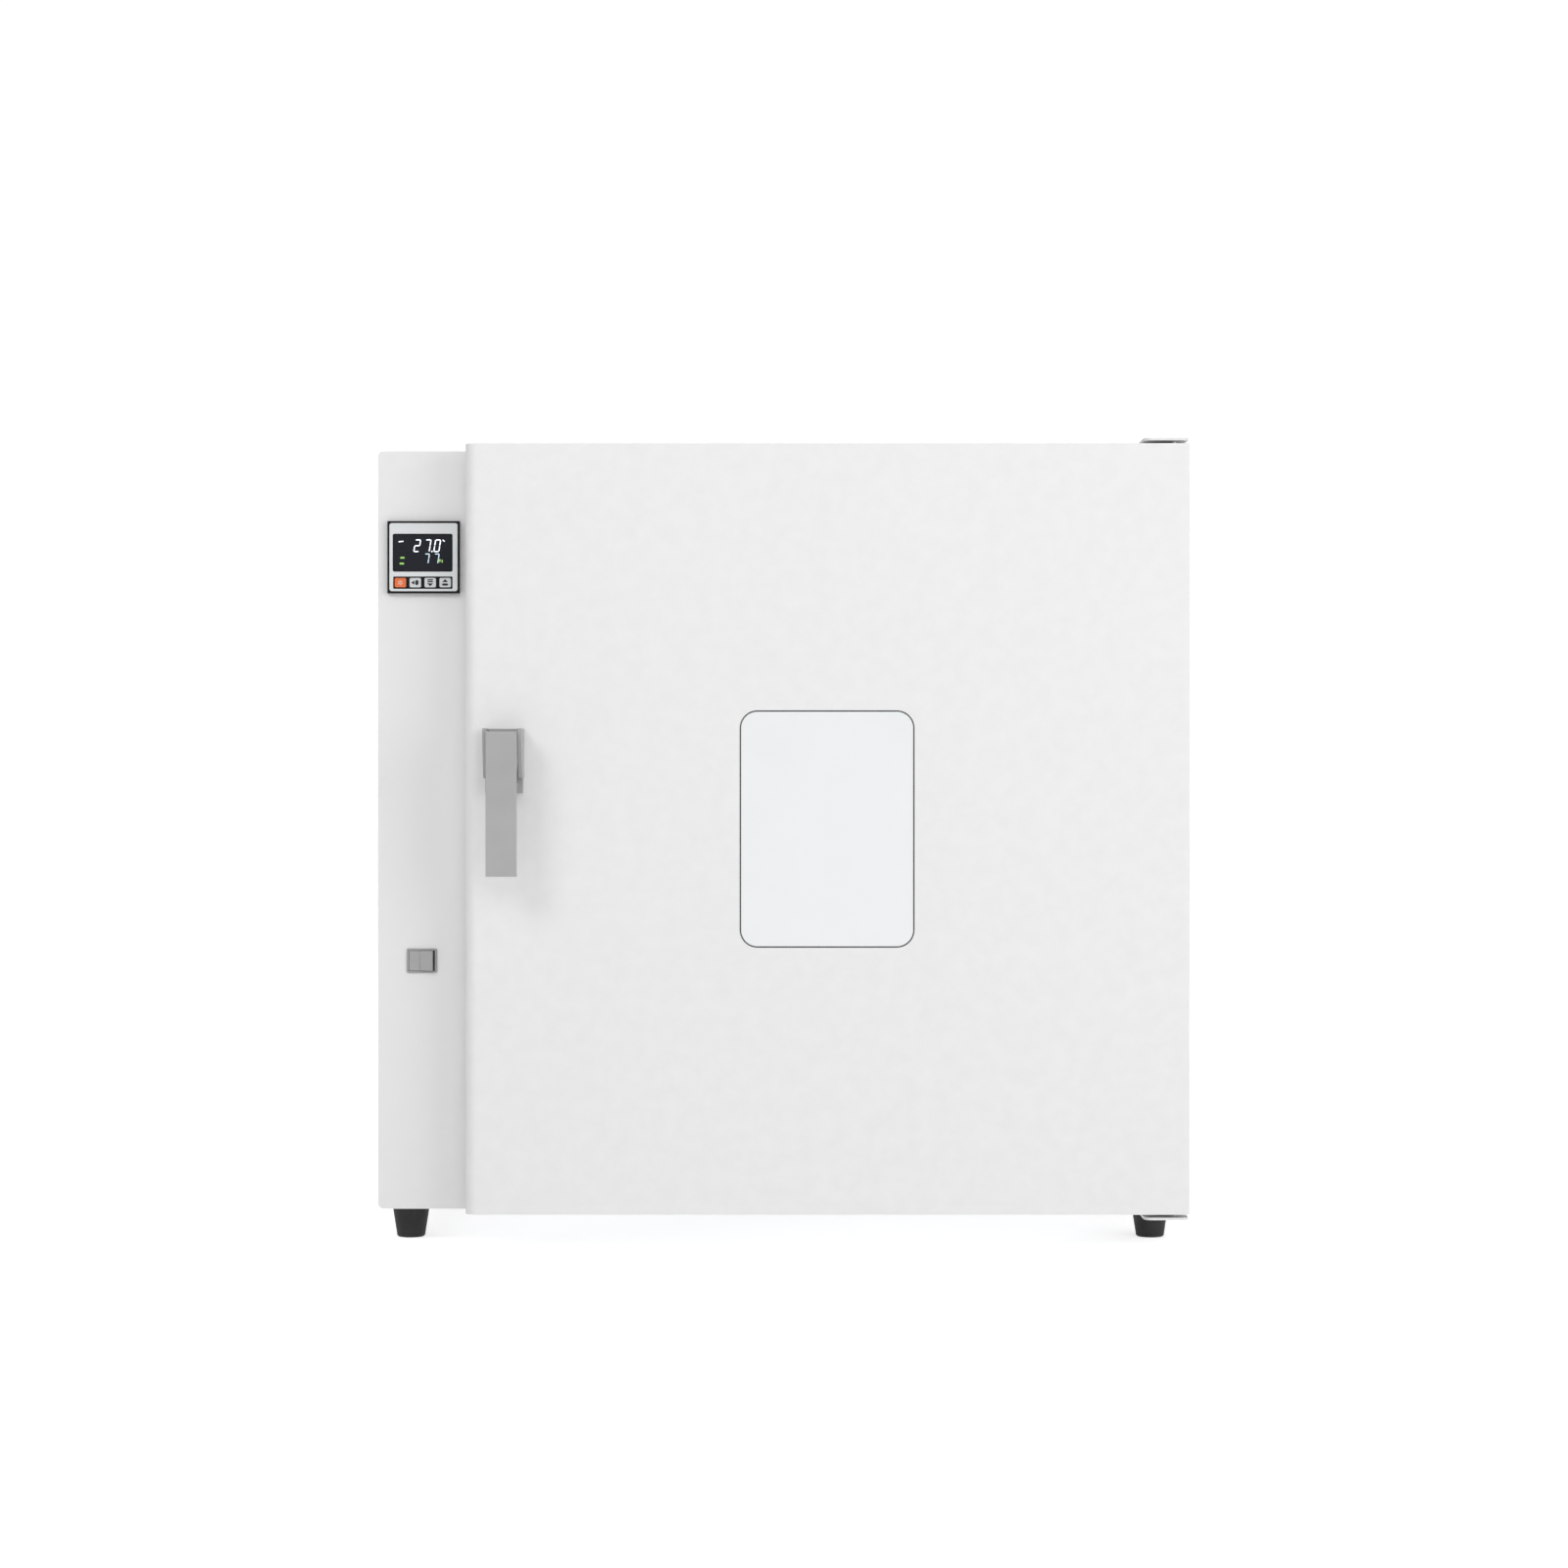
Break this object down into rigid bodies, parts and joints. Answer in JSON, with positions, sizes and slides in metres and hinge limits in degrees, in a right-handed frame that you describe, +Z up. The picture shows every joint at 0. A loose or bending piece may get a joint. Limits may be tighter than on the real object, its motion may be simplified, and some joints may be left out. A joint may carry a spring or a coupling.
{
  "type": "laboratory drying oven",
  "caption": "Free-standing laboratory drying oven: square insulated cabinet, control column, overlay door with a small window and a lever latch.",
  "frame": {"origin": "on the bench, under the middle of the whole object", "axes": "+X to the right seen from the front, -Y out of the door, +Z up"},
  "size_m": [0.805, 0.696, 0.8245],
  "materials": {
    "white_paint": "semi-gloss powder coat",
    "galvanised_sheet": "galvanised",
    "stainless_sheet": "brushed",
    "stainless_wire": "electropolished",
    "mineral_wool": "fibrous",
    "heater_sheath": "heat darkened",
    "turned_steel": "turned",
    "motor_casting": "painted casting",
    "foot_rubber": "matt",
    "zinc_screws": "zinc plated",
    "hinge_paint": "semi-gloss powder coat",
    "white_nylon": "smooth",
    "window_glass": "polished",
    "clear_glass": "polished",
    "black_seal": "matt",
    "silicone_gasket": "matt silicone",
    "grey_handle": "fine satin",
    "grey_lever": "fine satin",
    "black_plastic": "fine texture",
    "faceplate_plastic": "satin film",
    "display_lens": "polished",
    "orange_key": "satin",
    "grey_key": "satin",
    "grey_switch": "satin",
    "grey_rocker": "satin",
    "heat_sink_aluminium": "extruded",
    "terminal_plastic": "smooth"
  },
  "bodies": {
    "cabinet": {"air_duct_panel": "stainless_sheet", "base_pan": "galvanised_sheet", "cabinet_insulation": "mineral_wool", "cabinet_screws": "zinc_screws", "chamber": "stainless_sheet", "column_front_panel": "white_paint", "controller_bezel": "black_plastic", "controller_body": "black_plastic", "controller_faceplate": "faceplate_plastic", "controller_lens": "display_lens", "divider_panel": "galvanised_sheet", "electrical_tray": "galvanised_sheet", "fan_motor": "motor_casting", "feet": "foot_rubber", "foot_screws": "zinc_screws", "front_frame": "white_paint", "heating_elements": "heater_sheath", "hinge_pins": "turned_steel", "hinge_plate_bottom": "hinge_paint", "hinge_plate_top": "hinge_paint", "inlet_plate": "galvanised_sheet", "keeper_bracket": "galvanised_sheet", "motor_bracket": "galvanised_sheet", "outer_shell": "white_paint", "power_inlet": "black_plastic", "rear_panel": "white_paint", "relay_heat_sink": "heat_sink_aluminium", "shelf_rails": "stainless_sheet", "solid_state_relay": "black_plastic", "switch_housing": "grey_switch", "temperature_sensor": "turned_steel", "terminal_block": "terminal_plastic", "vent_grille": "stainless_sheet", "vent_tube": "stainless_sheet"},
    "door": {"door_outer_skin": "white_paint", "door_inner_liner": "stainless_sheet", "door_insulation": "mineral_wool", "door_gasket": "silicone_gasket", "window_outer_pane": "window_glass", "window_inner_pane": "clear_glass", "window_frame": "black_seal", "door_hinge_blocks": "turned_steel", "hinge_bushes": "white_nylon", "handle_housing": "grey_handle", "handle_pin": "turned_steel", "handle_screws": "zinc_screws"},
    "lever": {"handle_lever": "grey_lever", "latch_claw": "turned_steel"},
    "fan": {"fan_impeller": "stainless_sheet", "fan_shaft": "turned_steel"},
    "keeper_roller": {"keeper_roller": "white_nylon"},
    "vent_damper": {"vent_damper": "stainless_sheet"},
    "shelf_lower": {"shelf_lower": "stainless_wire"},
    "shelf_upper": {"shelf_upper": "stainless_wire"},
    "switch_rocker": {"switch_rocker": "grey_rocker"},
    "key_1": {"key_1": "orange_key"},
    "key_2": {"key_2": "grey_key"},
    "key_3": {"key_3": "grey_key"},
    "key_4": {"key_4": "grey_key"}
  },
  "joints": [
    {"name": "door_swing", "type": "hinge", "parent": "cabinet", "child": "door", "pos_m": [0.39, -0.2775, 0.4157], "axis": [0, 0, 1], "range_deg": [0, 110]},
    {"name": "lever_pull", "type": "hinge", "parent": "door", "child": "lever", "pos_m": [-0.271, -0.326, 0.497], "axis": [-1, 0, 0], "range_deg": [0, 20], "stiffness_Nm_per_rad": 0.8, "springref_deg": -8.59},
    {"name": "fan_spin", "type": "hinge", "parent": "cabinet", "child": "fan", "pos_m": [0.0459, 0.192, 0.4157], "axis": [0, 1, 0], "continuous": true},
    {"name": "roller_spin", "type": "hinge", "parent": "cabinet", "child": "keeper_roller", "pos_m": [-0.2725, -0.238, 0.5008], "axis": [1, 0, 0], "continuous": true},
    {"name": "vent_turn", "type": "hinge", "parent": "cabinet", "child": "vent_damper", "pos_m": [0.1959, 0.082, 0.8147], "axis": [0, 0, 1], "range_deg": [0, 60]},
    {"name": "lower_shelf_slide", "type": "slide", "parent": "cabinet", "child": "shelf_lower", "axis": [0, -1, 0], "range_m": [0, 0.018]},
    {"name": "upper_shelf_slide", "type": "slide", "parent": "cabinet", "child": "shelf_upper", "axis": [0, -1, 0], "range_m": [0, 0.018]},
    {"name": "power_rocker", "type": "hinge", "parent": "cabinet", "child": "switch_rocker", "pos_m": [-0.3585, -0.246, 0.2834], "axis": [0, 0, 1], "range_deg": [0, 16]},
    {"name": "key_1_press", "type": "slide", "parent": "cabinet", "child": "key_1", "axis": [0, 1, 0], "range_m": [0, 0.0004], "stiffness_N_per_m": 400, "springref_m": -0.0003},
    {"name": "key_2_press", "type": "slide", "parent": "cabinet", "child": "key_2", "axis": [0, 1, 0], "range_m": [0, 0.0004], "stiffness_N_per_m": 400, "springref_m": -0.0003},
    {"name": "key_3_press", "type": "slide", "parent": "cabinet", "child": "key_3", "axis": [0, 1, 0], "range_m": [0, 0.0004], "stiffness_N_per_m": 400, "springref_m": -0.0003},
    {"name": "key_4_press", "type": "slide", "parent": "cabinet", "child": "key_4", "axis": [0, 1, 0], "range_m": [0, 0.0004], "stiffness_N_per_m": 400, "springref_m": -0.0003}
  ]
}
